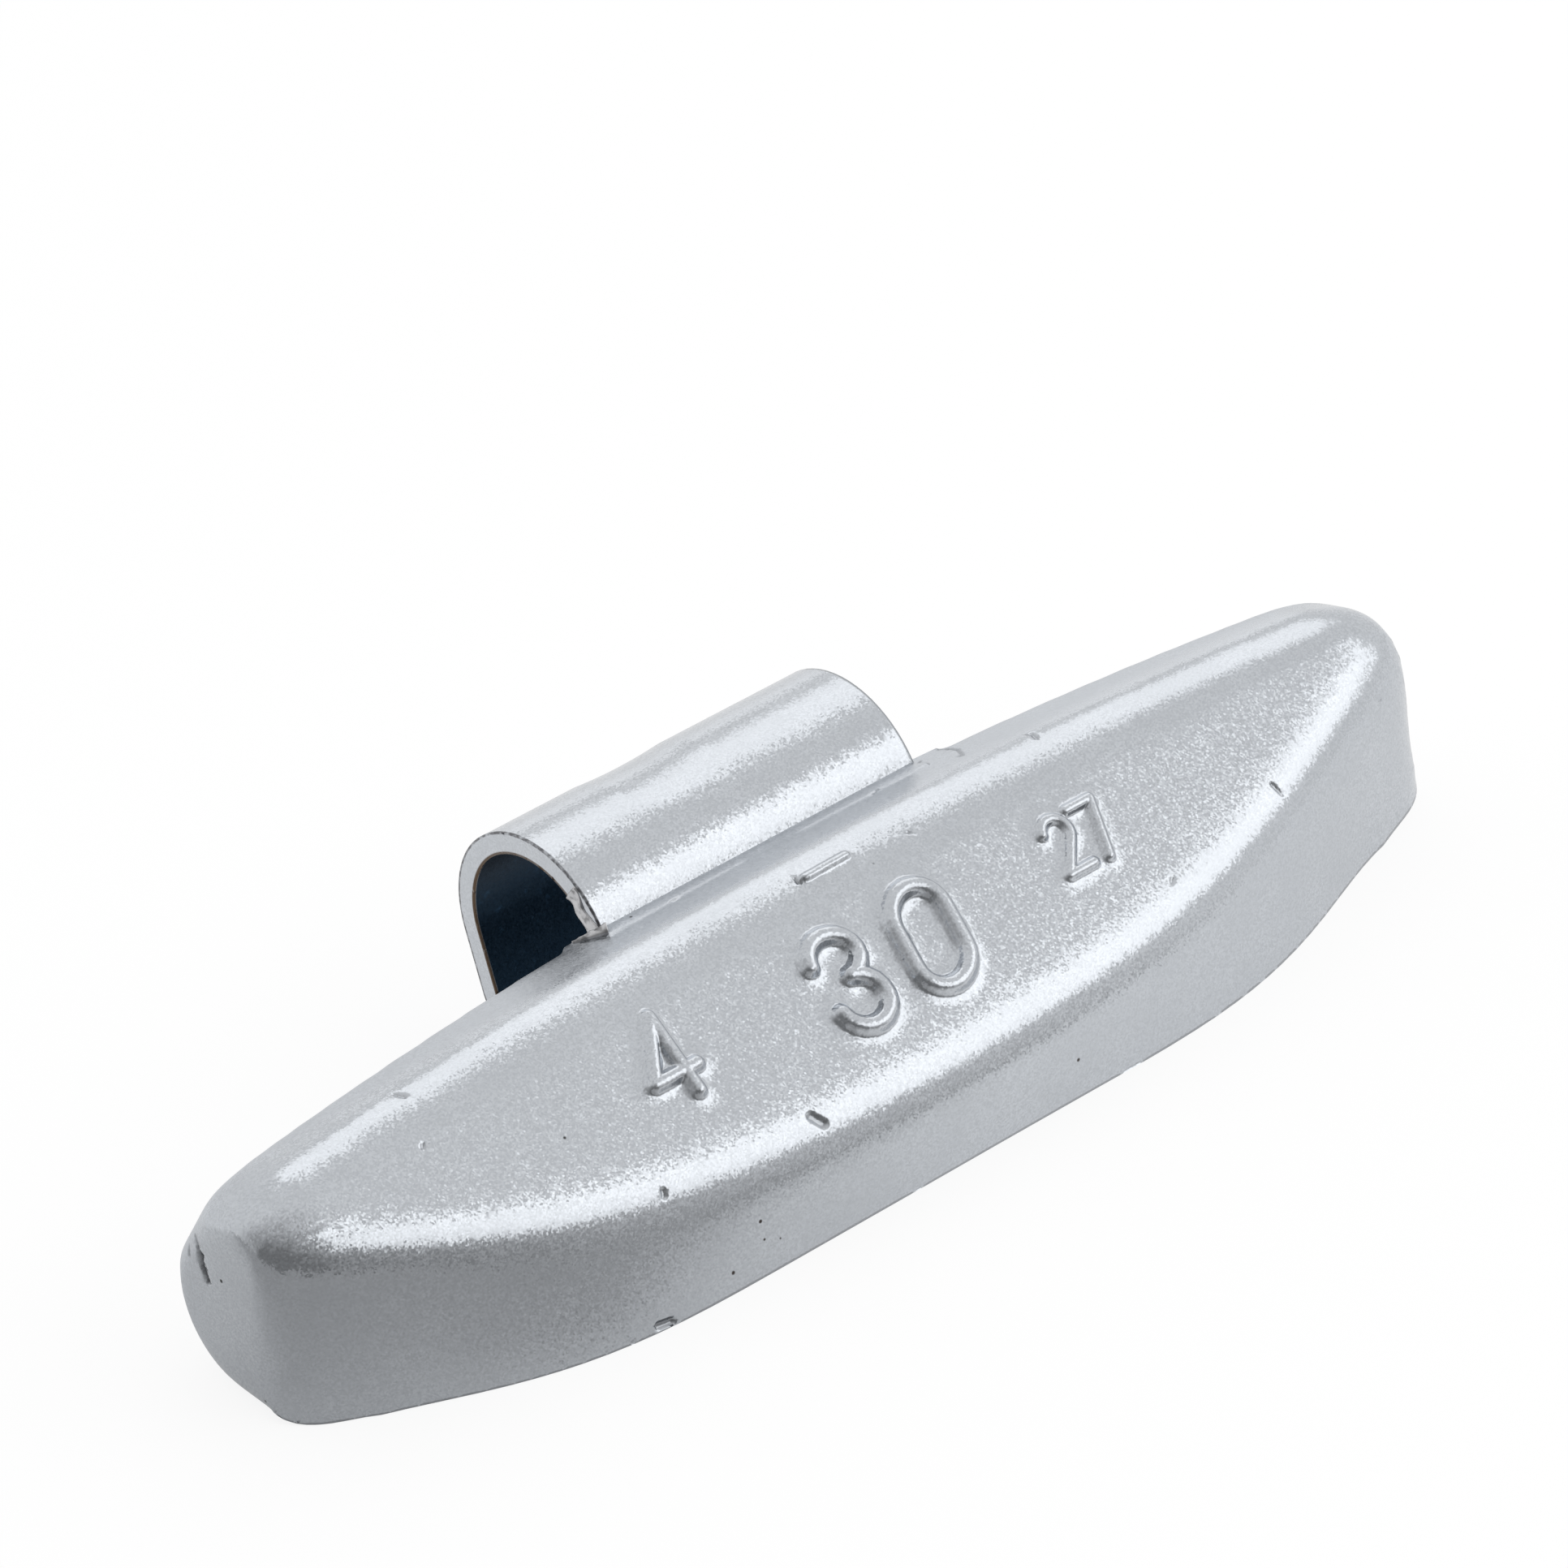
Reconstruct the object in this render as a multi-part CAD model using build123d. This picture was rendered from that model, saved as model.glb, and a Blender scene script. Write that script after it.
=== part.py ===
from build123d import *
import math
import os

# Clip-on wheel balance weight, as it lies on its underside.
# x runs along the rim, y from the front wall to the rim side, z up.
# The origin is on the axis of the clip's bend, midway along the clip's width.

# Spring clip
strip_thickness = 0.9
strip_width = 16.0
bend_inner_radius = 3.65
root_angle = 144.7
leg_lean = 21.0
leg_length = 4.3
tail_length = 5.2
strip_corner_radius = 1.5
key_hole_diameter = 2.6
key_hole_pitch = 8.0
key_hole_depth = 3.2

# Cast body: each long edge has its place in the middle section and at the end faces
body_length = 59.0
body_offset = 0.2
underside_z = -5.7
front_foot_y = (-15.6, -10.3)
front_foot_straight = 0.42
ridge_y = (-15.5, -9.8)
marks_slope = 33.0
marks_height = 5.85
crease_y = (-7.6, -8.5)
brow_y = (-6.05, -7.3)
brow_rise = (0.12, 0.0)
rim_edge_y = (-3.1, -5.7)
brow_slope = 20.0
back_y = (-3.9, -3.75)
back_slant_foot_z = -1.3

# Where the left and the right end differ: bow of the front foot and draft of the end face
front_foot_bends = (2.0, 1.35)
end_drafts = (1.0, 4.5)

# Roundings of the body's long edges, in the middle and at the ends; the other edges are sharp
ridge_radius = (3.0, 2.4)
crease_radius = (5.0, 1.6)
brow_radius = 0.6
heel_radius = 3.6
least_radius = 0.25

# Roundings towards the end faces as length along x and depth, on top for the left and the right end
front_end_rounding = (1.6, 0.7)
top_end_roundings = ((3.2, 1.3), (4.0, 1.6))
back_end_rounding = (1.6, 1.0)
underside_end_rounding = (1.0, 0.6)

# Seat of the rim lip behind the clip's root, and the land that the clip leaves the casting through
lip_clearance = 0.25
land_depth = 0.85
land_overhang = 0.25
land_radius = 0.25
land_root = 1.2

section_count = 11
end_section_count = 5
SIDE = Plane(origin=(0, 0, 0), x_dir=(0, 1, 0), z_dir=(1, 0, 0))
bend_outer_radius = bend_inner_radius + strip_thickness
marks_foot_y = -bend_outer_radius * math.cos(math.radians(180.0 - root_angle))


def between(span, u, straight=0.0, bend=2.0):
    """Place of a long edge at u, 0 in the middle and 1 or -1 at an end, bowed past its straight stretch."""
    middle, end = span
    bow = max(abs(u) - straight, 0.0) / (1.0 - straight)
    return middle + (end - middle) * bow**bend


def marks_z(y):
    """Height of the slanted marks face."""
    return marks_height + (y - marks_foot_y) * math.tan(math.radians(marks_slope))


def section_corners(u):
    """Corners of the body's cross-section, from the front foot round to the heel."""
    ridge = between(ridge_y, u)
    crease = between(crease_y, u)
    brow = between(brow_y, u)
    brow_top = marks_z(crease) + between(brow_rise, u)
    rim_edge = between(rim_edge_y, u)
    back = between(back_y, u)
    return [
        (between(front_foot_y, u, front_foot_straight, front_foot_bends[u > 0]), underside_z),
        (ridge, marks_z(ridge)),
        (crease, marks_z(crease)),
        (brow, brow_top),
        (rim_edge, brow_top - (rim_edge - brow) * math.tan(math.radians(brow_slope))),
        (back, back_slant_foot_z),
        (back, underside_z),
    ]


def drawn_in(x, rounding):
    """How far a side of the cross-section at x lies inside its full place."""
    length, depth = rounding
    reach = min(max(abs(x) - body_length / 2 + length, 0.0) / length, 1.0)
    return depth * (1.0 - math.sqrt(1.0 - reach * reach))


def inset_corners(corners, insets):
    """The same cross-section with each side moved inwards by its own inset."""
    count = len(corners)
    sides = []
    for i in range(count):
        (y0, z0), (y1, z1) = corners[i], corners[(i + 1) % count]
        length = math.hypot(y1 - y0, z1 - z0)
        normal = ((z1 - z0) / length, (y0 - y1) / length)
        sides.append((normal, normal[0] * y0 + normal[1] * z0 + insets[i]))
    moved = []
    for i in range(count):
        (a, b), c = sides[i - 1]
        (d, e), f = sides[i]
        det = a * e - b * d
        moved.append(((c * e - b * f) / det, (a * f - c * d) / det))
    return moved


def body_section(x):
    """Rounded cross-section at x, drawn in where an end is rounded off."""
    u = x / (body_length / 2)
    front = drawn_in(x, front_end_rounding)
    top = drawn_in(x, top_end_roundings[x > 0])
    back = drawn_in(x, back_end_rounding)
    insets = [front, top, top, top, back, back, drawn_in(x, underside_end_rounding)]
    radii = [
        0.0,
        between(ridge_radius, u),
        between(crease_radius, u),
        brow_radius,
        0.0,
        0.0,
        heel_radius,
    ]
    radii = [max(radius - insets[i], least_radius) if radius else 0.0 for i, radius in enumerate(radii)]
    lean = math.copysign(math.radians(between((0.0, end_drafts[u > 0]), u)), x)
    plane = Plane(origin=(x, 0, underside_z), x_dir=(0, 1, 0), z_dir=(math.cos(lean), 0, math.sin(lean)))
    corners = inset_corners(section_corners(u), insets)
    outline = [(y, (z - underside_z) / math.cos(lean)) for y, z in corners]
    return plane * make_face(FilletPolyline(*outline, radius=radii, close=True))


def body_blank():
    """Boat-shaped casting with rounded ends, before anything is cut into it."""
    left, right = [side * (body_length / 2 - top_end_roundings[side > 0][0]) for side in (-1, 1)]
    stations = [left + (right - left) * i / (section_count - 1) for i in range(section_count)]
    solid = loft([body_section(x) for x in stations])
    for shoulder in (left, right):
        end = math.copysign(body_length / 2, shoulder)
        turns = [math.pi / 2 * i / (end_section_count - 1) for i in range(end_section_count)]
        solid += loft([body_section(shoulder + (end - shoulder) * math.sin(turn)) for turn in turns])
    return Pos(body_offset, 0, 0) * solid


def on_bend(radius, angle):
    """Point (y, z) on a circle about the axis of the clip's bend."""
    return Vector(radius * math.cos(math.radians(angle)), radius * math.sin(math.radians(angle)))


def spring_clip():
    """Steel strip: tail in the casting, bend over the rim lip, leg behind the rim."""
    tail_way = on_bend(1.0, root_angle + 90.0)
    leg_way = on_bend(1.0, -leg_lean - 90.0)
    corners = []
    for radius in (bend_inner_radius, bend_outer_radius):
        root, hip = on_bend(radius, root_angle), on_bend(radius, -leg_lean)
        crown = on_bend(radius, (root_angle - leg_lean) / 2)
        corners.append((root + tail_way * tail_length, root, crown, hip, hip + leg_way * leg_length))
    inner, outer = corners
    outline = [Line(inner[4], outer[4]), Line(outer[0], inner[0])]
    for tail_end, root, crown, hip, leg_end in corners:
        outline += [Line(tail_end, root), ThreePointArc(root, crown, hip), Line(hip, leg_end)]
    strip = extrude(SIDE * make_face(outline), strip_width / 2, both=True)
    across = strip.edges().filter_by(lambda edge: abs(edge.length - strip_thickness) < 1e-6)
    strip = fillet(across, strip_corner_radius)
    middle_radius = bend_inner_radius + strip_thickness / 2
    hole_y, hole_z = tuple(on_bend(middle_radius, root_angle) + tail_way * key_hole_depth)[:2]
    for side in (-1, 1):
        place = Pos(side * key_hole_pitch / 2, hole_y, hole_z) * Rot(X=root_angle - 90.0)
        strip -= place * Cylinder(key_hole_diameter / 2, 2 * strip_thickness)
    return strip


def root_land():
    """Raised land on the casting in front of the clip's root."""
    y, z = tuple(on_bend(bend_outer_radius, root_angle))[:2]
    fall = land_depth * math.tan(math.radians(brow_slope))
    front = y - land_depth
    outline = Polyline((y, z), (front, z + fall), (front, z - land_root), (y, z - land_root), close=True)
    land = extrude(SIDE * make_face(outline), strip_width / 2 + land_overhang, both=True)
    top_edges = land.edges().filter_by(lambda edge: edge.center().Z > z)
    return fillet(top_edges, land_radius)


def cast_body(clip):
    """Zinc casting round the clip's tail, with zinc through the tail's holes."""
    rim_seat = Cylinder(bend_inner_radius + lip_clearance, body_length, rotation=(0, 90, 0))
    return body_blank() + root_land() - rim_seat - clip


def write(name, shape):
    os.makedirs("parts", exist_ok=True)
    export_step(shape, f"parts/{name}.step")


clip = spring_clip()
write("spring_clip", clip)
write("cast_body", cast_body(clip))
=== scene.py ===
import math
from collections import namedtuple

import bmesh
import bpy
import numpy as np
from bpy.props import FloatProperty, FloatVectorProperty, PointerProperty
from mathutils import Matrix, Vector
from mathutils.kdtree import KDTree


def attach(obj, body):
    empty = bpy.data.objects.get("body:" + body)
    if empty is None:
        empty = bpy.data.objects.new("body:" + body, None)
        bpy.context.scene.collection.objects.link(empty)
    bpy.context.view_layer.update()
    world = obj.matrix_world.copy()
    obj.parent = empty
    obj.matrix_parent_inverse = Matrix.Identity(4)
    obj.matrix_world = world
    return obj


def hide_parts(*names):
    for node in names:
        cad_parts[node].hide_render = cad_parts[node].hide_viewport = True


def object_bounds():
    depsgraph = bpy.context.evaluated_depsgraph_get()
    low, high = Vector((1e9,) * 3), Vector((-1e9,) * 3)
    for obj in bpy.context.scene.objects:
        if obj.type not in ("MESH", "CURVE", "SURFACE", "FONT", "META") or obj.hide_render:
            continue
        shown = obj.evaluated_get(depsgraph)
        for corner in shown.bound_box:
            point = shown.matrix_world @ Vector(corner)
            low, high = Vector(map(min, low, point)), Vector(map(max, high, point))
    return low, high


bl_info = {
    "name": "Wheel balance weight",
    "version": (1, 0, 0),
    "blender": (4, 5, 0),
    "location": "3D View > Sidebar > Balance weight",
    "description": "Paint, raised numbers, nicks and torn flash of a clip-on wheel balance weight",
    "category": "Object",
}

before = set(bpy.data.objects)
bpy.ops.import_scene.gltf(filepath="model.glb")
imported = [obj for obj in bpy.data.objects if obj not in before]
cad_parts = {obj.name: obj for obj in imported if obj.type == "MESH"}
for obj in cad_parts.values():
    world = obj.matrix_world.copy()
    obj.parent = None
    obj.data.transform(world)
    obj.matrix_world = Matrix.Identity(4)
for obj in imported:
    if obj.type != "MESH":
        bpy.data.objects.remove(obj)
CAD_BOX = [list(corner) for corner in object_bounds()]

MM = 0.001

# The marks face: its slope, and the point of it that the numbers' places are counted from, in mm
MARKS_SLOPE = math.radians(33.0)
UP_SLOPE = Vector((0.0, math.cos(MARKS_SLOPE), math.sin(MARKS_SLOPE)))
MARKS_ORIGIN = Vector((0.0, -11.0, 1.118))

# The clip: radii of its bend, its left edge in mm, and the lean of its leg
BEND_INNER = 3.65
BEND_OUTER = 4.55
CLIP_LEFT = -8.0
LEG_LEAN = math.radians(21.0)

# The skins: distance in metres at which loose corners are one, angle of a sharp edge, points
# per voxel along it, share of a voxel from which a corner is drawn onto it, and in mm the room
# about the clip and the height of the foot where the casting's sharp edges are kept
MERGE_DISTANCE = 1e-6
SHARP_ANGLE = math.radians(30.0)
EDGE_POINTS_PER_VOXEL = 8
EDGE_REACH = 0.75
KEPT_EDGE_X = 9.5
KEPT_EDGE_Z = -5.0

# Rounds of softening, and for the casting's front shoulder the lowest z and the last y of each
# step in mm
CLIP_ROUNDS = 6
CASTING_ROUNDS = 14
SHOULDER_ROUNDS = 26
SHOULDER_STEPS = ((-4.3, -9.0), (-3.8, -9.4), (-3.2, -9.9))

# How finely the casting's skin is divided at its strokes, and how far beyond them
STROKE_CUTS = 2
STROKE_MARGIN = 0.15 * MM

# A raised stroke's crown, and how its height is shared between the steep wall and the soft foot
TOP_CROWN = 0.15
WALL_SHARE = 0.72
FOOT_SHARE = 0.28

# Dip in the bend's back: middle and half width along x in mm, and about the bend in degrees
DIP_MIDDLE, DIP_HALF_WIDTH = -1.2, 2.2
DIP_ANGLE, DIP_HALF_ANGLE = 60.0, 45.0

# Raised numbers: digits, left foot along x and up the slope, height, pitch in mm, lean, and
# share of the full relief
NUMBERS = (
    ("3", -3.23, -1.93, 4.0, 0.0, 0.0, 1.0),
    ("0", 0.52, -2.02, 4.15, 0.0, 0.13, 1.0),
    ("4", -11.75, -0.85, 3.3, 0.0, 0.0, 0.85),
    ("27", 8.82, -0.60, 2.45, 1.62, 0.0, 0.62),
)

# Short raised bar above the 30: its ends in mm, and its share of the full relief
BAR_ENDS = ((-0.85, -7.20, 3.27), (1.25, -7.17, 3.28))
BAR_SHARE = 0.5

# Nicks and scratches of the casting: points, half width, flank and depth in mm, and how dark, which
# is wear with painted shade in their hollows
NICKS = (
    (((-6.82, -14.13, -0.97), (-6.52, -14.46, -1.27)), 0.07, 0.22, 0.13, 0.35),
    (((-13.88, -13.86, -0.86), (-13.94, -13.98, -1.02)), 0.08, 0.11, 0.12, 0.22),
    (((19.26, -12.0, 0.47), (19.42, -12.47, 0.1)), 0.04, 0.10, 0.12, 0.35),
    (((11.99, -6.05, 3.18), (11.92, -6.45, 3.27)), 0.05, 0.10, 0.10, 0.25),
    (((-20.56, -6.74, 3.0), (-20.42, -7.05, 3.01)), 0.06, 0.10, 0.10, 0.25),
    (((-21.25, -8.99, 2.28), (-21.30, -9.07, 2.24)), 0.08, 0.10, 0.12, 0.40),
    (((26.2, -10.84, 0.62), (26.44, -10.85, 0.42)), 0.09, 0.12, 0.06, 0.08),
    (((4.14, -7.53, 3.14), (4.91, -8.06, 2.82)), 0.02, 0.07, 0.09, 0.55),
    (((10.28, -8.21, 2.72), (10.96, -8.59, 2.24)), 0.02, 0.07, 0.09, 0.40),
    (((12.75, -13.14, -0.28), (12.66, -13.24, -0.34)), 0.05, 0.08, 0.06, 0.12),
    (((-29.08, -5.25, 0.30), (-29.15, -5.62, 0.02), (-29.2, -5.80, -0.24)), 0.04, 0.08, 0.12, 0.55),
    (((-29.2, -5.8, -0.24), (-29.21, -5.96, -0.78)), 0.09, 0.08, 0.25, 1.0),
    (((-29.21, -6.02, -0.86), (-29.22, -6.26, -1.28)), 0.07, 0.08, 0.20, 0.9),
    (((-29.10, -4.85, -0.10), (-29.16, -5.10, -0.75)), 0.04, 0.10, 0.08, 0.35),
    (((-15.53, -15.31, -5.45), (-14.95, -15.37, -5.5)), 0.10, 0.12, 0.18, 0.55),
    (((9.55, -3.60, 2.42), (9.72, -4.35, 2.70), (9.35, -5.05, 2.98)), 0.03, 0.07, 0.07, 0.30),
    (((-8.95, -3.72, 2.50), (-8.25, -4.42, 2.78)), 0.03, 0.05, 0.06, 0.60),
    (((-1.12, -7.02, 3.28), (-1.16, -7.22, 3.27), (-0.78, -7.32, 3.24)), 0.04, 0.07, 0.10, 0.45),
)

# Small dark specks of the casting: point and radius in mm
SPECKS = (
    ((-10.35, -15.16, -3.43), 0.10), ((-10.30, -15.31, -4.21), 0.07),
    ((-9.58, -15.42, -4.49), 0.06), ((-11.92, -15.36, -4.87), 0.11),
    ((-7.21, -15.57, -4.98), 0.06), ((5.60, -15.48, -3.98), 0.10),
    ((6.23, -15.47, -5.62), 0.08), ((2.12, -15.50, -4.72), 0.06),
    ((3.48, -15.49, -4.65), 0.06), ((2.84, -15.42, -5.60), 0.13),
    ((28.93, -9.96, -1.44), 0.14), ((-29.29, -9.28, -5.03), 0.10),
    ((-15.53, -15.31, -5.45), 0.10),
)

# Torn flash: start value of its random folds, and rounds that soften them
FLASH_SEED = 30
FOLD_ROUNDS = 2

# Finishes: share of metal, and the colours of specks, worn spots darkened with painted shade, and
# the clip's cut edge
METAL = 0.9
PIT_COLOUR = (0.05, 0.05, 0.05, 1.0)
SPECK_COLOUR = (0.07, 0.06, 0.055, 1.0)
WORN_AND_SHADED_COLOUR = (0.03, 0.03, 0.035, 1.0)
CUT_EDGE_COLOUR = (0.14, 0.14, 0.15, 1.0)
INNER_EDGE_COLOUR = (0.11, 0.075, 0.05, 1.0)
WHITE = (1.0, 1.0, 1.0, 1.0)

# Level way from the part to the studio's dark side, a fixed one
TO_DARK_SIDE = Vector((-0.66, -0.75, 0.0))

# Soft boxes: name, azimuth from +Y towards +X and elevation in degrees, distance, width and
# height in metres, and brightness
LAMPS = (
    ("front_box", 147, 36, 0.50, 0.43, 0.23, 0.82),
    ("right_box", 111, 27, 0.50, 0.13, 0.17, 0.80),
    ("back_box", 47, 42, 0.50, 0.34, 0.25, 0.55),
    ("back_low_box", 36, 6, 0.50, 0.16, 0.12, 0.25),
)

Stroke = namedtuple("Stroke", "lines core flank foot height wear")


# Settings

class WeightMarks(bpy.types.PropertyGroup):
    """Sizes of the raised numbers and of the skin that carries them."""
    skin_voxel: FloatProperty(
        name="Skin grain", description="Spacing of the casting's skin mesh",
        default=0.2 * MM, min=0.1 * MM, max=0.5 * MM, unit="LENGTH", precision=5)
    relief: FloatProperty(
        name="Relief", description="Height of the raised numbers",
        default=0.44 * MM, min=0.0, max=1.0 * MM, unit="LENGTH", precision=5)
    stroke: FloatProperty(
        name="Stroke", description="Half the flat width of a stroke's top",
        default=0.20 * MM, min=0.05 * MM, max=0.5 * MM, unit="LENGTH", precision=5)
    flank: FloatProperty(
        name="Flank", description="Width of the steep wall beside a stroke's top",
        default=0.28 * MM, min=0.1 * MM, max=0.8 * MM, unit="LENGTH", precision=5)
    foot: FloatProperty(
        name="Foot", description="Width of the soft foot from the wall to the face",
        default=0.45 * MM, min=0.1 * MM, max=1.0 * MM, unit="LENGTH", precision=5)


class WeightClip(bpy.types.PropertyGroup):
    """Sizes of the painted clip."""
    skin_voxel: FloatProperty(
        name="Skin grain", description="Spacing of the clip's skin mesh",
        default=0.13 * MM, min=0.08 * MM, max=0.3 * MM, unit="LENGTH", precision=5)
    dip: FloatProperty(
        name="Dip", description="Depth of the dip between the two lobes of the bend's back",
        default=0.10 * MM, min=0.0, max=0.4 * MM, unit="LENGTH", precision=5)
    flash: FloatProperty(
        name="Flash", description="Thickness of the torn flash at the clip's root",
        default=0.14 * MM, min=0.05 * MM, max=0.4 * MM, unit="LENGTH", precision=5)


class WeightPaint(bpy.types.PropertyGroup):
    """Colours and grain of the finishes."""
    silver: FloatVectorProperty(
        name="Silver", description="Colour of the flake paint",
        default=(0.610, 0.638, 0.675), subtype="COLOR", min=0.0, max=1.0)
    flake: FloatProperty(
        name="Flake", description="Width of a paint flake",
        default=0.075 * MM, min=0.02 * MM, max=0.5 * MM, unit="LENGTH", precision=5)
    sparkle: FloatProperty(
        name="Sparkle", description="How far the flakes lean out of the surface",
        default=0.11, min=0.0, max=1.0)
    # Dark bare steel inside the bend, made near black as painted shade of the hollow
    bare_steel_and_shade: FloatVectorProperty(
        name="Bare steel and painted shade", description="Colour of the dark steel inside the bend",
        default=(0.011, 0.029, 0.052), subtype="COLOR", min=0.0, max=1.0)
    zinc: FloatVectorProperty(
        name="Torn zinc", description="Colour of the zinc where the flash is torn",
        default=(0.55, 0.55, 0.56), subtype="COLOR", min=0.0, max=1.0)


class WeightStage(bpy.types.PropertyGroup):
    """Camera, floor and even light."""
    camera_place: FloatVectorProperty(
        name="Camera place", description="Where the camera stands",
        default=(-183.86 * MM, -209.794 * MM, 200.661 * MM), subtype="TRANSLATION")
    camera_turn: FloatVectorProperty(
        name="Camera turn", description="How the camera is turned",
        default=tuple(math.radians(a) for a in (54.7385, 0.4552, -42.2633)), subtype="EULER")
    lens: FloatProperty(
        name="Lens", description="Focal length on a sensor 36 mm wide",
        default=205.89, unit="CAMERA")
    floor: FloatVectorProperty(
        name="Floor", description="Colour of the floor",
        default=(0.80, 0.80, 0.80), subtype="COLOR", min=0.0, max=1.0)
    room: FloatProperty(
        name="Room", description="Strength of the even light from all round", default=0.82)
    dark_side: FloatProperty(
        name="Dark side", description="Share of the even light that the dark side gives",
        default=0.22, min=0.0, max=1.0)


# Strokes

def arc(cx, cy, rx, ry, start, end, steps=14):
    """Points of an elliptical arc, angles in degrees."""
    angles = [math.radians(start + (end - start) * i / steps) for i in range(steps + 1)]
    return [(cx + rx * math.cos(a), cy + ry * math.sin(a)) for a in angles]


def digit_strokes(digit):
    """Centre lines of a plain digit's strokes, in a cell one unit high."""
    if digit == "0":
        top = arc(0.30, 0.70, 0.30, 0.30, 0, 180)
        bottom = arc(0.30, 0.30, 0.30, 0.30, 180, 360)
        return [top + bottom + [(0.60, 0.70)]]
    if digit == "2":
        return [arc(0.28, 0.73, 0.25, 0.25, 165, -35) + [(0.04, 0.03), (0.55, 0.03)]]
    if digit == "3":
        upper = arc(0.277, 0.752, 0.275, 0.238, 175, -75)
        lower = arc(0.277, 0.265, 0.275, 0.265, 80, -175)
        return [upper, lower]
    if digit == "4":
        return [[(0.62, 0.28), (0.0, 0.28), (0.44, 1.0), (0.44, 0.0)]]
    if digit == "7":
        return [[(0.0, 0.97), (0.52, 0.97), (0.20, 0.0)]]
    raise ValueError(f"no strokes for {digit}")


def on_slope(x, s):
    """Point of the marks face at x along the weight and s up the slope, mm in and metres out."""
    return (MARKS_ORIGIN + Vector((x, 0, 0)) + UP_SLOPE * s) * MM


def number_lines(text, x, s, height, pitch, lean):
    """Strokes of a number whose first digit's lower left corner is at x, s on the marks face."""
    lines = []
    for place, digit in enumerate(text):
        left = x + place * pitch
        for stroke in digit_strokes(digit):
            lines.append([on_slope(left + (u + lean * v) * height, s + v * height)
                          for u, v in stroke])
    return lines


def weight_strokes(marks):
    """Every raised or sunk stroke of the casting, in metres."""
    def raised(lines, share):
        return Stroke(lines, marks.stroke * share, marks.flank * share, marks.foot,
                      marks.relief * share, 0.0)

    strokes = [raised(number_lines(*place), share) for *place, share in NUMBERS]
    strokes.append(raised([[Vector(end) * MM for end in BAR_ENDS]], BAR_SHARE))
    for points, core, flank, depth, wear in NICKS:
        line = [Vector(point) * MM for point in points]
        strokes.append(Stroke([line], core * MM, flank * MM, 0.0, -depth * MM, wear))
    return strokes


# Skins

def sharp_edge_points(shell, spacing):
    """Points along the sharp edges of a mesh, to be looked up by place."""
    points = []
    for edge in shell.edges:
        if edge.calc_face_angle(0.0) > SHARP_ANGLE:
            start, end = edge.verts[0].co, edge.verts[1].co
            count = max(int(edge.calc_length() / spacing), 1)
            points += [start.lerp(end, i / count) for i in range(count + 1)]
    tree = KDTree(len(points))
    for i, point in enumerate(points):
        tree.insert(point, i)
    tree.balance()
    return tree


def soften(skin, verts, rounds):
    """Smooths some vertices of a skin."""
    for _ in range(rounds):
        bmesh.ops.smooth_vert(skin, verts=verts, factor=0.5,
                              use_axis_x=True, use_axis_y=True, use_axis_z=True)


def skin_of(node, name, voxel, rounds):
    """Closed, evenly spaced skin over a copy of a CAD node, and those of its vertices that are
    softened like paint: sharp edges are kept at the foot and about the clip."""
    shell = bmesh.new()
    shell.from_mesh(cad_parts[node].data)
    bmesh.ops.remove_doubles(shell, verts=shell.verts, dist=MERGE_DISTANCE)
    edge_points = sharp_edge_points(shell, voxel / EDGE_POINTS_PER_VOXEL)
    mesh = bpy.data.meshes.new(name)
    shell.to_mesh(mesh)
    shell.free()
    piece = bpy.data.objects.new(name, mesh)
    bpy.context.scene.collection.objects.link(piece)
    remesh = piece.modifiers.new("Skin", "REMESH")
    remesh.mode = "VOXEL"
    remesh.voxel_size = voxel
    remesh.adaptivity = 0.0
    depsgraph = bpy.context.evaluated_depsgraph_get()
    skin = bmesh.new()
    skin.from_mesh(bpy.data.meshes.new_from_object(piece.evaluated_get(depsgraph)))
    piece.modifiers.clear()
    soft = []
    for vert in skin.verts:
        place, _, away = edge_points.find(vert.co)
        worn = abs(vert.co.x) > KEPT_EDGE_X * MM and vert.co.z > KEPT_EDGE_Z * MM
        if away < EDGE_REACH * voxel and not worn:
            vert.co = place
        else:
            soft.append(vert)
    soften(skin, soft, rounds)
    return piece, skin, soft


def finish_piece(piece, skin, material, node):
    """Puts the skin on the piece and hands it to the frame."""
    for face in skin.faces:
        face.smooth = True
    skin.to_mesh(piece.data)
    skin.free()
    piece.data.materials.clear()
    piece.data.materials.append(material)
    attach(piece, "root")
    if node:
        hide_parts(node)


def segment_distance(points, lines):
    """Distance of every point from the nearest segment of the lines."""
    best = np.full(len(points), 1e9)
    for line in lines:
        for a, b in zip(line[:-1], line[1:]):
            a, b = np.array(a), np.array(b)
            along = b - a
            t = np.clip((points - a) @ along / max(along @ along, 1e-18), 0, 1)
            best = np.minimum(best, np.linalg.norm(points - a - t[:, None] * along, axis=1))
    return best


def refine(skin, margin, strokes, cuts):
    """Divides the skin's edges near the strokes."""
    points = np.array([v.co for v in skin.verts])
    near = np.zeros(len(points), bool)
    for stroke in strokes:
        near |= segment_distance(points, stroke.lines) < stroke.core + stroke.flank + margin
    skin.verts.ensure_lookup_table()
    edges = [e for e in skin.edges if near[e.verts[0].index] and near[e.verts[1].index]]
    bmesh.ops.subdivide_edges(skin, edges=edges, cuts=cuts, use_grid_fill=True, smooth=0.0)


def rise_of(distance, stroke):
    """Share of a stroke's height at a distance from its line: crowned top, steep wall and, on
    a raised one, soft foot."""
    wall = np.clip((distance - stroke.core) / stroke.flank, 0, 1)
    crown = 1 - TOP_CROWN * np.clip(distance / stroke.core, 0, 1) ** 2
    body = (1 - wall * wall * (3 - 2 * wall)) * crown
    if not stroke.foot:
        return body
    slope = np.clip(1 - (distance - stroke.core) / (stroke.flank + stroke.foot), 0, 1)
    return WALL_SHARE * body + FOOT_SHARE * slope ** 2


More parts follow.
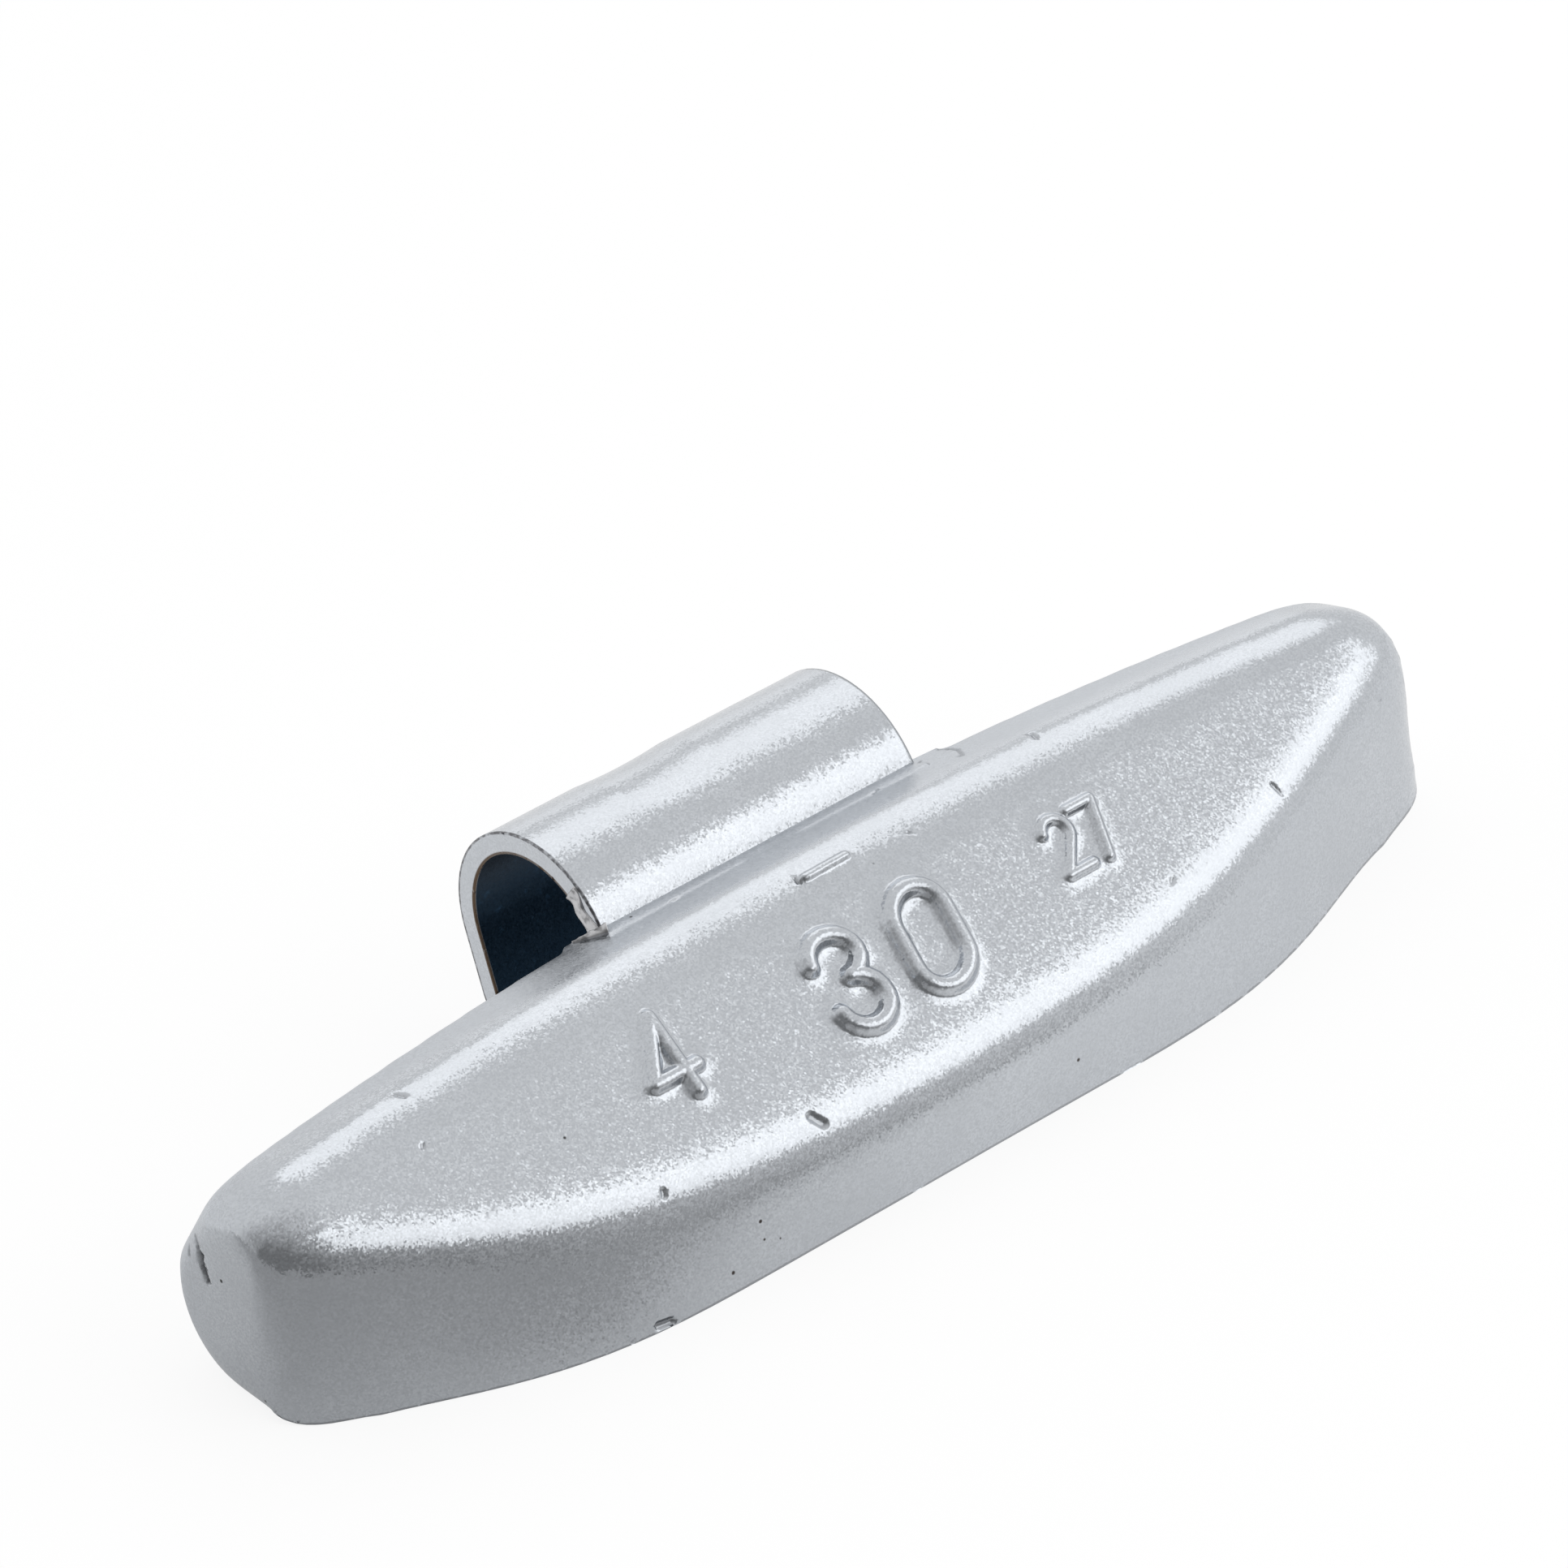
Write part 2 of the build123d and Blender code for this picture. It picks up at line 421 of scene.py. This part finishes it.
def press_strokes(skin, strokes):
    """Raises or sinks each stroke, and keeps how dark it is, wear with painted shade in the sunk
    nicks, as an attribute for the paint.
    """
    skin.normal_update()
    skin.verts.index_update()
    wear_and_shade_layer = skin.verts.layers.float.new("wear")
    points = np.array([v.co for v in skin.verts])
    normals = np.array([v.normal for v in skin.verts])
    shift = np.zeros(len(points))
    wear = np.zeros(len(points))
    for stroke in strokes:
        rise = rise_of(segment_distance(points, stroke.lines), stroke)
        value = stroke.height * rise
        shift = np.where(np.abs(value) > np.abs(shift), value, shift)
        wear = np.maximum(wear, stroke.wear * rise)
    moved = points + normals * shift[:, None]
    for vert, place, amount in zip(skin.verts, moved, wear):
        vert.co = place
        vert[wear_and_shade_layer] = amount


def dip_bend(skin, depth):
    """Sinks the back of the clip's bend a little between its two lobes."""
    for vert in skin.verts:
        x, y, z = vert.co / MM
        radius, angle = math.hypot(y, z), math.degrees(math.atan2(z, y))
        across = max(1 - ((x - DIP_MIDDLE) / DIP_HALF_WIDTH) ** 2, 0.0)
        around = max(1 - ((angle - DIP_ANGLE) / DIP_HALF_ANGLE) ** 2, 0.0)
        if radius > (BEND_INNER + BEND_OUTER) / 2:
            vert.co -= Vector((0, y, z)).normalized() * depth * across * around


# Torn flash

def folds(rng, rows, columns):
    """Grid of soft random folds between about -1 and 1."""
    grid = rng.normal(0.0, 1.0, (rows, columns))
    for _ in range(FOLD_ROUNDS):
        padded = np.pad(grid, 1, mode="edge")
        up, down = padded[:-2, 1:-1], padded[2:, 1:-1]
        left, right = padded[1:-1, :-2], padded[1:-1, 2:]
        grid = (up + down + left + right + grid) / 5
    return grid / np.abs(grid).max()


def closed_sheet(front, back):
    """Closed mesh between two grids of points with the same rows and columns."""
    sheet = bmesh.new()
    rows, columns = len(front), len(front[0])
    for grid in (front, back):
        side = bmesh.ops.create_grid(sheet, x_segments=columns - 1, y_segments=rows - 1, size=1.0)
        for vert, point in zip(side["verts"], (point for row in grid for point in row)):
            vert.co = point
    rims = [edge for edge in sheet.edges if edge.is_boundary]
    bmesh.ops.bridge_loops(sheet, edges=rims)
    bmesh.ops.recalc_face_normals(sheet, faces=sheet.faces)
    return sheet


def edge_flash(thickness, rng):
    """Crumpled sheet over the strip's cut edge, from a tongue down to the root: front, back."""
    rows, columns = 26, 12
    start, sweep = 121.0, 25.0
    behind = CLIP_LEFT + 0.06
    crumple = folds(rng, rows, columns)
    front, back = [], []
    for i in range(rows):
        t = i / (rows - 1)
        angle = math.radians(start + sweep * t)
        inner = BEND_INNER - 0.05 + 0.07 * math.sin(9.0 * t) + 0.03 * crumple[i, 0]
        waist = 0.35 * math.sin(math.pi * t) ** 2
        outer = BEND_OUTER - 0.06 - waist + 0.05 * crumple[i, 1]
        bulge = thickness * (0.55 + 0.45 * math.cos(5.0 * math.pi * t) * math.exp(-2.5 * t))
        front_row, back_row = [], []
        for j in range(columns):
            u = j / (columns - 1)
            radius = inner + (outer - inner) * u
            y, z = radius * math.cos(angle), radius * math.sin(angle)
            out = bulge * (1 + 0.35 * crumple[i, j]) * math.sin(math.pi * (0.15 + 0.7 * u))
            front_row.append(Vector((CLIP_LEFT * MM - out, y * MM, z * MM)))
            back_row.append(Vector((behind * MM, y * MM, z * MM)))
        front.append(front_row)
        back.append(back_row)
    return front, back


def root_flash(thickness, rng):
    """Low sliver on the casting from its tip on the rim edge to the clip's root: front, back."""
    tip, root = Vector((-9.15, -3.42, 2.38)), Vector((-7.98, -4.12, 2.80))
    aside = Vector((-0.35, -0.55, 0.18))
    up = Vector((0.0, 0.30, 0.95))
    rows, columns = 22, 9
    tip_width, widening = 0.10, 0.75
    least_lift, sunk = 0.03, 0.10
    crumple = folds(rng, rows, columns)
    front, back = [], []
    for i in range(rows):
        t = i / (rows - 1)
        middle = tip.lerp(root, t)
        width = tip_width + widening * t
        front_row, back_row = [], []
        for j in range(columns):
            u = j / (columns - 1) - 0.5
            base = middle + aside * (u * width)
            arch = 1 - (2 * u) ** 2 + 0.30 * crumple[i, j]
            lift = thickness / MM * (0.4 + 1.3 * t) * arch
            front_row.append((base + up * (least_lift + max(lift, 0.0))) * MM)
            back_row.append((base - up * sunk) * MM)
        front.append(front_row)
        back.append(back_row)
    return front, back


# Finishes

class Nodes:
    """A node tree, with short calls to add and join nodes."""

    def __init__(self, tree, output):
        self.tree = tree
        self.tree.nodes.clear()
        self.output = self.add(output)

    def put(self, socket, value):
        """Joins a socket to another or sets its value."""
        if isinstance(value, bpy.types.NodeSocket):
            self.tree.links.new(value, socket)
        else:
            socket.default_value = value

    def add(self, kind, inputs=None, **settings):
        """Adds a node with its settings and inputs."""
        node = self.tree.nodes.new(kind)
        for key, value in settings.items():
            setattr(node, key, value)
        for key, value in (inputs or {}).items():
            self.put(node.inputs[key], value)
        return node

    def math(self, operation, a, b=0.0, clamp=False):
        """Works out a number."""
        node = self.add("ShaderNodeMath", {0: a, 1: b}, operation=operation, use_clamp=clamp)
        return node.outputs[0]

    def vector(self, operation, a, b, output="Vector"):
        """Works out a vector, or a number from vectors where the output is Value."""
        node = self.add("ShaderNodeVectorMath", {0: a, 1: b}, operation=operation)
        return node.outputs[output]

    def noise(self, place, scale, detail, roughness):
        """Random grain from 0 to 1, scale in grains per metre."""
        inputs = {"Vector": place, "Scale": scale, "Detail": detail, "Roughness": roughness}
        return self.add("ShaderNodeTexNoise", inputs).outputs[0]

    def mix(self, share, a, b):
        """Mixes two colours."""
        node = self.add("ShaderNodeMix", data_type="RGBA")
        for socket, value in ((node.inputs[0], share), (node.inputs[6], a), (node.inputs[7], b)):
            self.put(socket, value)
        return node.outputs[2]

    def step(self, value, low, high, out_low=0.0, out_high=1.0):
        """Soft step from one output to the other as the value goes from low to high."""
        inputs = {0: value, 1: low, 2: high, 3: out_low, 4: out_high}
        return self.add("ShaderNodeMapRange", inputs, interpolation_type="SMOOTHSTEP").outputs[0]

    def surface(self, shader):
        """Makes a shader the tree's result."""
        self.tree.links.new(shader.outputs[0], self.output.inputs["Surface"])

    def metal(self, colour, roughness, normal):
        """Makes a painted or bare metal the tree's result."""
        inputs = {"Base Color": colour, "Roughness": roughness, "Normal": normal}
        shader = self.add("ShaderNodeBsdfPrincipled", inputs)
        shader.inputs["Metallic"].default_value = METAL
        self.surface(shader)


def new_finish(name):
    """New material and its empty node tree."""
    material = bpy.data.materials.new(name)
    material.use_nodes = True
    return material, Nodes(material.node_tree, "ShaderNodeOutputMaterial")


def rgba(colour, scale=1.0):
    """Colour for a socket, brighter or darker by scale."""
    return (colour[0] * scale, colour[1] * scale, colour[2] * scale, 1.0)


def clip_radius(f, place):
    """Distance from the clip's middle line in its side view: from the bend's axis above the
    leg, and from the plane through the axis along the leg."""
    across_leg = (0.0, math.cos(LEG_LEAN), -math.sin(LEG_LEAN))
    along_leg = (0.0, math.sin(LEG_LEAN), math.cos(LEG_LEAN))
    out = f.vector("DOT_PRODUCT", place, across_leg, "Value")
    up = f.math("MAXIMUM", f.vector("DOT_PRODUCT", place, along_leg, "Value"), 0.0)
    return f.math("SQRT", f.math("ADD", f.math("POWER", out, 2.0), f.math("POWER", up, 2.0)))


def clip_finish(f, paint, place, colour, rough):
    """The clip's own part of the paint: chipped left edge, and inside the bend dark bare steel with
    painted shade.
    """
    x = f.add("ShaderNodeSeparateXYZ", {0: place}).outputs[0]
    radius = clip_radius(f, place)
    left = f.step(x, -7.88 * MM, -7.94 * MM)
    chips = f.noise(place, 3500.0, 3.0, 0.6)
    outer_line = f.math("MULTIPLY", left, f.step(radius, 4.44 * MM, 4.48 * MM))
    outer_line = f.math("MULTIPLY", outer_line, f.step(chips, 0.35, 0.60, 0.25, 0.95))
    inner_line = f.math("MULTIPLY", left, f.step(radius, 3.78 * MM, 3.72 * MM))
    colour = f.mix(outer_line, colour, CUT_EDGE_COLOUR)
    # Inside the bend the colour is dark bare steel made near black: painted shade of the hollow
    inside = f.math("SUBTRACT", f.step(radius, 3.80 * MM, 3.74 * MM), left, clamp=True)
    rust = f.noise(place, 1800.0, 5.0, 0.7)
    shaded_steel = f.mix(f.step(rust, 0.55, 0.75), rgba(paint.bare_steel_and_shade), rgba(paint.bare_steel_and_shade, 2.2))
    colour = f.mix(inside, colour, shaded_steel)
    colour = f.mix(inner_line, colour, INNER_EDGE_COLOUR)
    return colour, f.math("ADD", rough, f.math("MULTIPLY", inside, 0.25))


def casting_finish(f, place, colour, rough):
    """The casting's own part of the paint: duller rim strip, worn nicks darkened with painted
    shade, and dark specks.
    """
    y = f.add("ShaderNodeSeparateXYZ", {0: place}).outputs[1]
    rough = f.math("ADD", rough, f.step(y, -6.6 * MM, -5.0 * MM, 0.0, 0.22))
    # Nicks and scratches are darker by wear and by painted shade in their hollows
    wear = f.add("ShaderNodeAttribute", attribute_name="wear").outputs["Fac"]
    colour = f.mix(wear, colour, WORN_AND_SHADED_COLOUR)
    for point, radius in SPECKS:
        away = f.vector("DISTANCE", place, Vector(point) * MM, "Value")
        spot = f.step(away, radius * MM, radius * 0.5 * MM)
        colour = f.mix(spot, colour, SPECK_COLOUR)
    return colour, rough


def flake_paint(name, paint, on_clip):
    """Silver flake paint: leaning flakes of their own tone, faint mottling and small pits."""
    material, f = new_finish(name)
    place = f.add("ShaderNodeTexCoord").outputs["Object"]
    grid = {"Vector": place, "Scale": 1.0 / paint.flake}
    flakes = f.add("ShaderNodeTexVoronoi", grid, feature="F1").outputs["Color"]
    lean = f.vector("SUBTRACT", flakes, (0.5, 0.5, 0.5))
    lean = f.add("ShaderNodeVectorMath", {0: lean, "Scale": paint.sparkle}, operation="SCALE")
    ripple = {"Strength": 0.08, "Distance": 0.04 * MM, "Height": f.noise(place, 900.0, 2.0, 0.5)}
    normal = f.vector("ADD", f.add("ShaderNodeBump", ripple).outputs[0], lean.outputs[0])
    normal = f.vector("NORMALIZE", normal, (0.0, 0.0, 0.0))
    tone = f.add("ShaderNodeSeparateColor", {0: flakes}).outputs[0]
    colour = f.mix(tone, rgba(paint.silver, 0.90), rgba(paint.silver, 1.08))
    mottle = f.step(f.noise(place, 260.0, 3.0, 0.6), 0.35, 0.7, 0.0, 0.5)
    colour = f.mix(mottle, colour, rgba(paint.silver, 0.93))
    grid = {"Vector": place, "Scale": 1.0 / MM, "Randomness": 1.0}
    pits = f.add("ShaderNodeTexVoronoi", grid, feature="F1")
    pick = f.add("ShaderNodeSeparateColor", {0: pits.outputs["Color"]}).outputs[1]
    pit = f.step(pits.outputs["Distance"], 0.10, 0.05)
    pit = f.math("MULTIPLY", pit, f.math("GREATER_THAN", pick, 0.975))
    colour = f.mix(pit, colour, PIT_COLOUR)
    rough = f.step(tone, 0.0, 1.0, 0.13, 0.20)
    if on_clip:
        colour, rough = clip_finish(f, paint, place, colour, rough)
    else:
        colour, rough = casting_finish(f, place, colour, rough)
    f.metal(colour, rough, normal)
    return material


def torn_zinc(paint):
    """Bright torn zinc, darker in the low parts of its bumped folds as painted shade."""
    material, f = new_finish("Torn zinc")
    place = f.add("ShaderNodeTexCoord").outputs["Object"]
    grain = f.noise(place, 2500.0, 3.0, 0.5)
    # The grain that lifts the bump also darkens the colour where it is low: painted shade in the
    # folds
    colour = f.mix(f.step(grain, 0.30, 0.50), rgba(paint.zinc, 0.55), rgba(paint.zinc, 1.15))
    ripple = {"Strength": 0.35, "Distance": 0.06 * MM, "Height": grain}
    f.metal(colour, 0.35, f.add("ShaderNodeBump", ripple).outputs[0])
    return material


def floor_paper(stage):
    """Pale paper that keeps shadows: near white to the camera, and in mirrors darker towards
    the dark side."""
    material, f = new_finish("Floor")
    path = f.add("ShaderNodeLightPath")
    seen, mirrored = path.outputs["Is Camera Ray"], path.outputs["Is Glossy Ray"]
    place = f.add("ShaderNodeTexCoord").outputs["Object"]
    nearness = f.vector("DOT_PRODUCT", place, TO_DARK_SIDE, "Value")
    shade = f.step(nearness, 9 * MM, 38 * MM, 1.05, stage.dark_side)
    strength = f.math("ADD", f.math("MULTIPLY", seen, 1.12), f.math("MULTIPLY", mirrored, shade))
    glow = f.add("ShaderNodeEmission", {"Color": WHITE, "Strength": strength})
    paper = f.add("ShaderNodeBsdfDiffuse", {"Color": rgba(stage.floor)})
    share = f.math("ADD", f.math("MULTIPLY", seen, 0.76), f.math("MULTIPLY", mirrored, 0.6))
    f.surface(f.add("ShaderNodeMixShader", {0: share, 1: paper.outputs[0], 2: glow.outputs[0]}))
    return material


# Pieces

class WEIGHT_OT_painted_casting(bpy.types.Operator):
    """Makes the painted casting with its raised numbers and nicks"""
    bl_idname = "weight.painted_casting"
    bl_label = "Painted casting"

    def execute(self, context):
        marks = context.scene.weight_marks
        piece, skin, soft = skin_of("cast_body", "painted_casting", marks.skin_voxel,
                                    CASTING_ROUNDS)
        for lowest_z, last_y in SHOULDER_STEPS:
            shoulder = [vert for vert in soft
                        if vert.co.z > lowest_z * MM and vert.co.y < last_y * MM]
            soften(skin, shoulder, SHOULDER_ROUNDS)
        strokes = weight_strokes(marks)
        refine(skin, STROKE_MARGIN, strokes, STROKE_CUTS)
        press_strokes(skin, strokes)
        material = flake_paint("Silver flake paint", context.scene.weight_paint, False)
        finish_piece(piece, skin, material, "cast_body")
        return {"FINISHED"}


class WEIGHT_OT_painted_clip(bpy.types.Operator):
    """Makes the painted spring clip with its softened edges and dark inside"""
    bl_idname = "weight.painted_clip"
    bl_label = "Painted clip"

    def execute(self, context):
        clip = context.scene.weight_clip
        piece, skin, _ = skin_of("spring_clip", "painted_clip", clip.skin_voxel, CLIP_ROUNDS)
        dip_bend(skin, clip.dip)
        material = flake_paint("Clip paint, steel and painted shade", context.scene.weight_paint, True)
        finish_piece(piece, skin, material, "spring_clip")
        return {"FINISHED"}


class WEIGHT_OT_torn_flash(bpy.types.Operator):
    """Makes the torn flash on the clip's left edge and at its root"""
    bl_idname = "weight.torn_flash"
    bl_label = "Torn flash"

    def execute(self, context):
        thickness = context.scene.weight_clip.flash
        rng = np.random.default_rng(FLASH_SEED)
        material = torn_zinc(context.scene.weight_paint)
        for name, sides in (("edge_flash", edge_flash), ("root_flash", root_flash)):
            sheet = closed_sheet(*sides(thickness, rng))
            piece = bpy.data.objects.new(name, bpy.data.meshes.new(name))
            context.scene.collection.objects.link(piece)
            finish_piece(piece, sheet, material, None)
        return {"FINISHED"}


class WEIGHT_OT_stage(bpy.types.Operator):
    """Sets the floor, the lamps, the room's light and the camera"""
    bl_idname = "weight.stage"
    bl_label = "Stage"

    def execute(self, context):
        scene = context.scene
        stage = scene.weight_stage
        self.floor(scene, stage)
        self.lamps(scene)
        self.room(scene, stage)
        self.camera(scene, stage)
        scene.view_settings.view_transform = "Standard"
        return {"FINISHED"}

    def floor(self, scene, stage):
        """Square of paper three metres wide, at the foot of the weight."""
        paper = bmesh.new()
        bmesh.ops.create_grid(paper, x_segments=1, y_segments=1, size=1.5)
        bmesh.ops.translate(paper, verts=paper.verts, vec=(0, 0, CAD_BOX[0][2]))
        mesh = bpy.data.meshes.new("floor")
        paper.to_mesh(mesh)
        paper.free()
        ground = bpy.data.objects.new("floor", mesh)
        scene.collection.objects.link(ground)
        mesh.materials.append(floor_paper(stage))

    def lamps(self, scene):
        """Soft boxes that all face the weight."""
        for name, azimuth, elevation, distance, width, height, brightness in LAMPS:
            lamp = bpy.data.lights.new(name, "AREA")
            lamp.shape = "RECTANGLE"
            lamp.size, lamp.size_y = width, height
            lamp.energy = brightness * math.pi * width * height
            a, e = math.radians(azimuth), math.radians(elevation)
            way = Vector((math.sin(a) * math.cos(e), math.cos(a) * math.cos(e), math.sin(e)))
            box = bpy.data.objects.new(name, lamp)
            scene.collection.objects.link(box)
            box.location = way * distance
            box.rotation_euler = way.to_track_quat("Z", "Y").to_euler()

    def room(self, scene, stage):
        """Even light from all round, weaker from the dark side, and white to the camera."""
        world = bpy.data.worlds.new("Room")
        scene.world = world
        world.use_nodes = True
        f = Nodes(world.node_tree, "ShaderNodeOutputWorld")
        way = f.add("ShaderNodeTexCoord").outputs["Generated"]
        nearness = f.vector("DOT_PRODUCT", way, TO_DARK_SIDE, "Value")
        fall = {0: nearness, 1: 0.05, 2: 0.85, 3: stage.room, 4: stage.room * stage.dark_side}
        strength = f.add("ShaderNodeMapRange", fall).outputs[0]
        even = f.add("ShaderNodeBackground", {"Color": WHITE, "Strength": strength})
        white = f.add("ShaderNodeBackground", {"Color": WHITE, "Strength": 1.0})
        seen = f.add("ShaderNodeLightPath").outputs["Is Camera Ray"]
        f.surface(f.add("ShaderNodeMixShader", {0: seen, 1: even.outputs[0], 2: white.outputs[0]}))

    def camera(self, scene, stage):
        """Camera at the photograph's viewing angle."""
        camera = bpy.data.objects.new("camera", bpy.data.cameras.new("camera"))
        scene.collection.objects.link(camera)
        camera.data.lens = stage.lens
        camera.data.sensor_width = 36.0
        camera.data.clip_start = 0.01
        camera.location = stage.camera_place
        camera.rotation_euler = stage.camera_turn
        scene.camera = camera


class WEIGHT_PT_panel(bpy.types.Panel):
    """Sidebar panel with the balance weight's pieces and settings"""
    bl_label = "Balance weight"
    bl_idname = "WEIGHT_PT_panel"
    bl_space_type = "VIEW_3D"
    bl_region_type = "UI"
    bl_category = "Balance weight"

    def draw(self, context):
        layout = self.layout
        for operator in PIECES + [WEIGHT_OT_stage]:
            layout.operator(operator.bl_idname)
        for name in SETTINGS:
            group = getattr(context.scene, name)
            column = layout.column()
            for prop in group.__annotations__:
                column.prop(group, prop)


PIECES = [WEIGHT_OT_painted_casting, WEIGHT_OT_painted_clip, WEIGHT_OT_torn_flash]
SETTINGS = {"weight_marks": WeightMarks, "weight_clip": WeightClip, "weight_paint": WeightPaint,
            "weight_stage": WeightStage}
CLASSES = [*SETTINGS.values(), *PIECES, WEIGHT_OT_stage, WEIGHT_PT_panel]


def register():
    for cls in CLASSES:
        bpy.utils.register_class(cls)
    for name, group in SETTINGS.items():
        setattr(bpy.types.Scene, name, PointerProperty(type=group))


def unregister():
    for name in SETTINGS:
        delattr(bpy.types.Scene, name)
    for cls in reversed(CLASSES):
        bpy.utils.unregister_class(cls)


def main():
    register()
    bpy.ops.weight.stage()
    bpy.ops.weight.painted_casting()
    bpy.ops.weight.painted_clip()
    bpy.ops.weight.torn_flash()


if __name__ == "__main__":
    main()
